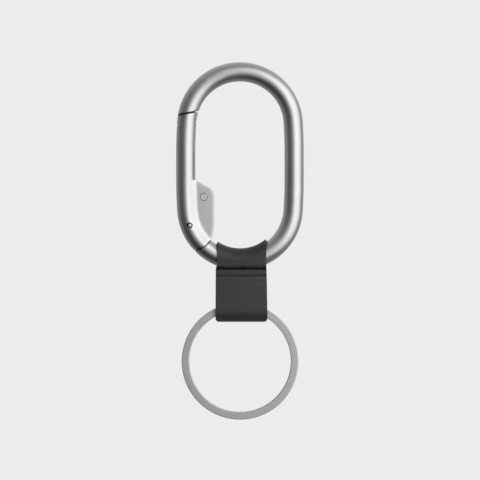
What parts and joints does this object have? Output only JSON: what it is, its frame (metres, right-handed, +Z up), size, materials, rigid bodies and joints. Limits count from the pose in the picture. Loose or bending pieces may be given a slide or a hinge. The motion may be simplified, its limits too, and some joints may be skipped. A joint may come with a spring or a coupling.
{
  "type": "carabiner key holder",
  "caption": "Oval spring-gate key clip with a thumb fin, a folded leather strap on its lower bar and a flat split ring for keys.",
  "frame": {"origin": "the inside top of the bow, where a hook or belt loop carries the hanging clip", "axes": "+Z up along the clip's length, +X to the right seen from the front, the front faces -Y"},
  "size_m": [0.033, 0.0096, 0.0924],
  "materials": {
    "satin_metal": "bead-blasted satin grey metal",
    "pin_steel": "smooth bright steel",
    "spring_steel": "drawn spring wire",
    "ring_steel": "satin flat wire",
    "black_leather": "smooth fine-grained black leather",
    "strap_board": "dense black bonded fibre board"
  },
  "bodies": {
    "bow": {"bow_frame": "satin_metal"},
    "gate": {"gate": "satin_metal", "gate_pivot_pin": "pin_steel", "spring_seat_pin": "pin_steel", "gate_spring": "spring_steel"},
    "plunger": {"gate_plunger": "pin_steel"},
    "strap": {"strap_outer": "black_leather", "flap_lining": "strap_board", "strap_core": "strap_board", "strap_post": "pin_steel", "strap_screw": "pin_steel"},
    "ring": {"key_ring": "ring_steel"}
  },
  "joints": [
    {"name": "gate_hinge", "type": "hinge", "parent": "bow", "child": "gate", "pos_m": [-0.01294, 0, -0.03724], "axis": [0, 1, 0], "range_deg": [0, 28], "stiffness_Nm_per_rad": 0.06, "springref_deg": -20.05},
    {"name": "plunger_slide", "type": "slide", "parent": "gate", "child": "plunger", "axis": [0.2678, 0, 0.9635], "range_m": [0, 0.00115], "deforming": ["gate_spring"]},
    {"name": "strap_swing", "type": "hinge", "parent": "bow", "child": "strap", "pos_m": [0, 0, -0.0463], "axis": [1, 0, 0], "range_deg": [-45, 45]},
    {"name": "ring_swing", "type": "hinge", "parent": "strap", "child": "ring", "pos_m": [0, 0, -0.05916], "axis": [1, 0, 0], "range_deg": [-120, 120]}
  ],
  "couplings": [
    {"joint": "plunger_slide", "follows": "gate_hinge", "m_per_rad": 0.0022695}
  ]
}
